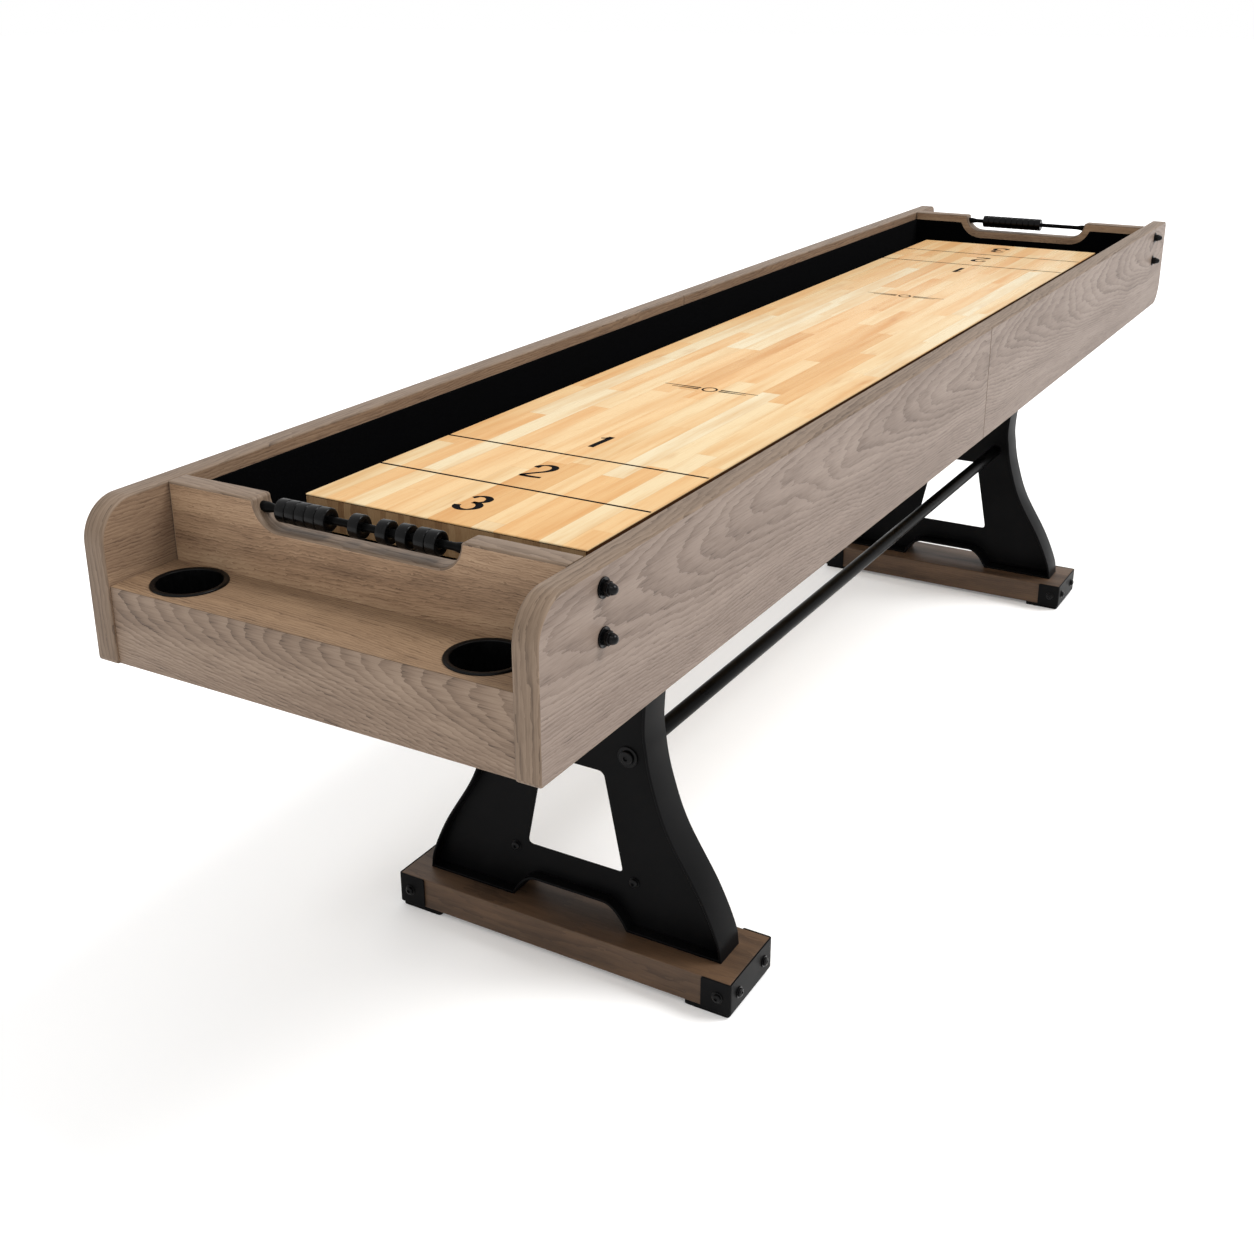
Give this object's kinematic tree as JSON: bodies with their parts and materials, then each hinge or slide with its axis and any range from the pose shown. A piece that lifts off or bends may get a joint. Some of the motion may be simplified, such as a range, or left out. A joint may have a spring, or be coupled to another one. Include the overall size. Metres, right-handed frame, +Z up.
{
  "type": "shuffleboard table",
  "caption": "Long wooden shuffleboard table on two steel pedestals, with a raised maple playfield, lined gutters, sliding score beads and a cup shelf at each end.",
  "frame": {"origin": "on the floor, under the middle of the table", "axes": "+X across the table, +Y along it towards the far end, +Z up"},
  "size_m": [0.604, 2.743, 0.7879],
  "materials": {
    "grey_oak": "weathered grey-brown oak veneer under a satin lacquer, grain along the table",
    "brown_oak": "darker warm brown oak veneer, satin lacquer",
    "maple": "pale butcher-block maple staves under a glossy clear coat",
    "pine": "bare softwood, not seen from outside",
    "walnut": "dark walnut-brown satin wood",
    "black_felt": "matt black felt lining",
    "black_carpet": "matt black gutter carpet",
    "black_steel": "charcoal-black satin powder coat",
    "tube_steel": "black satin powder coat on round tube",
    "rod_steel": "black satin steel rod",
    "bead_plastic": "black moulded plastic, satin gloss",
    "cup_plastic": "black moulded plastic, soft sheen",
    "foot_rubber": "matt black rubber"
  },
  "bodies": {
    "table": {"base_beam_far": "walnut", "base_beam_near": "walnut", "beam_cap_left_far": "black_steel", "beam_cap_left_near": "black_steel", "beam_cap_right_far": "black_steel", "beam_cap_right_near": "black_steel", "cabinet_floor_far": "pine", "cabinet_floor_near": "pine", "cup_holder_left_far": "cup_plastic", "cup_holder_left_near": "cup_plastic", "cup_holder_right_far": "cup_plastic", "cup_holder_right_near": "cup_plastic", "cup_shelf_far": "brown_oak", "cup_shelf_near": "brown_oak", "end_felt_far": "black_felt", "end_felt_near": "black_felt", "foot_pad_left_far": "foot_rubber", "foot_pad_left_near": "foot_rubber", "foot_pad_right_far": "foot_rubber", "foot_pad_right_near": "foot_rubber", "front_apron_far": "grey_oak", "front_apron_near": "grey_oak", "gutter_carpet": "black_carpet", "leg_block_far": "pine", "leg_block_near": "pine", "leg_far": "black_steel", "leg_near": "black_steel", "playfield": "maple", "playfield_batten_far": "pine", "playfield_batten_middle": "pine", "playfield_batten_near": "pine", "score_board_far": "brown_oak", "score_board_near": "brown_oak", "score_rod_far": "rod_steel", "score_rod_near": "rod_steel", "side_felt_left": "black_felt", "side_felt_right": "black_felt", "side_panel_left_far": "grey_oak", "side_panel_left_near": "grey_oak", "side_panel_right_far": "grey_oak", "side_panel_right_near": "grey_oak", "splice_plate_left": "black_steel", "splice_plate_right": "black_steel", "stretcher_left": "tube_steel", "stretcher_right": "tube_steel"},
    "bead_block_near": {"score_bead_near_1": "bead_plastic", "score_bead_near_2": "bead_plastic", "score_bead_near_3": "bead_plastic", "score_bead_near_4": "bead_plastic", "score_bead_near_5": "bead_plastic"},
    "bead_6_near": {"score_bead_near_6": "bead_plastic"},
    "bead_7_near": {"score_bead_near_7": "bead_plastic"},
    "bead_8_near": {"score_bead_near_8": "bead_plastic"},
    "bead_pair_near": {"score_bead_near_9": "bead_plastic", "score_bead_near_10": "bead_plastic"},
    "bead_row_left_far": {"score_beads_far_left": "bead_plastic"},
    "bead_row_right_far": {"score_beads_far_right": "bead_plastic"}
  },
  "joints": [
    {"name": "bead_block_near_slide", "type": "slide", "parent": "table", "child": "bead_block_near", "axis": [1, 0, 0], "range_m": [-0.0089, 0.016]},
    {"name": "bead_6_near_slide", "type": "slide", "parent": "table", "child": "bead_6_near", "axis": [1, 0, 0], "range_m": [-0.016, 0.0116]},
    {"name": "bead_7_near_slide", "type": "slide", "parent": "table", "child": "bead_7_near", "axis": [1, 0, 0], "range_m": [-0.0116, 0.0064]},
    {"name": "bead_8_near_slide", "type": "slide", "parent": "table", "child": "bead_8_near", "axis": [1, 0, 0], "range_m": [-0.0064, 0.0048]},
    {"name": "bead_pair_near_slide", "type": "slide", "parent": "table", "child": "bead_pair_near", "axis": [1, 0, 0], "range_m": [-0.0048, 0.0159]},
    {"name": "bead_row_left_far_slide", "type": "slide", "parent": "table", "child": "bead_row_left_far", "axis": [1, 0, 0], "range_m": [-0.0184, 0]},
    {"name": "bead_row_right_far_slide", "type": "slide", "parent": "table", "child": "bead_row_right_far", "axis": [1, 0, 0], "range_m": [0, 0.0863]}
  ]
}
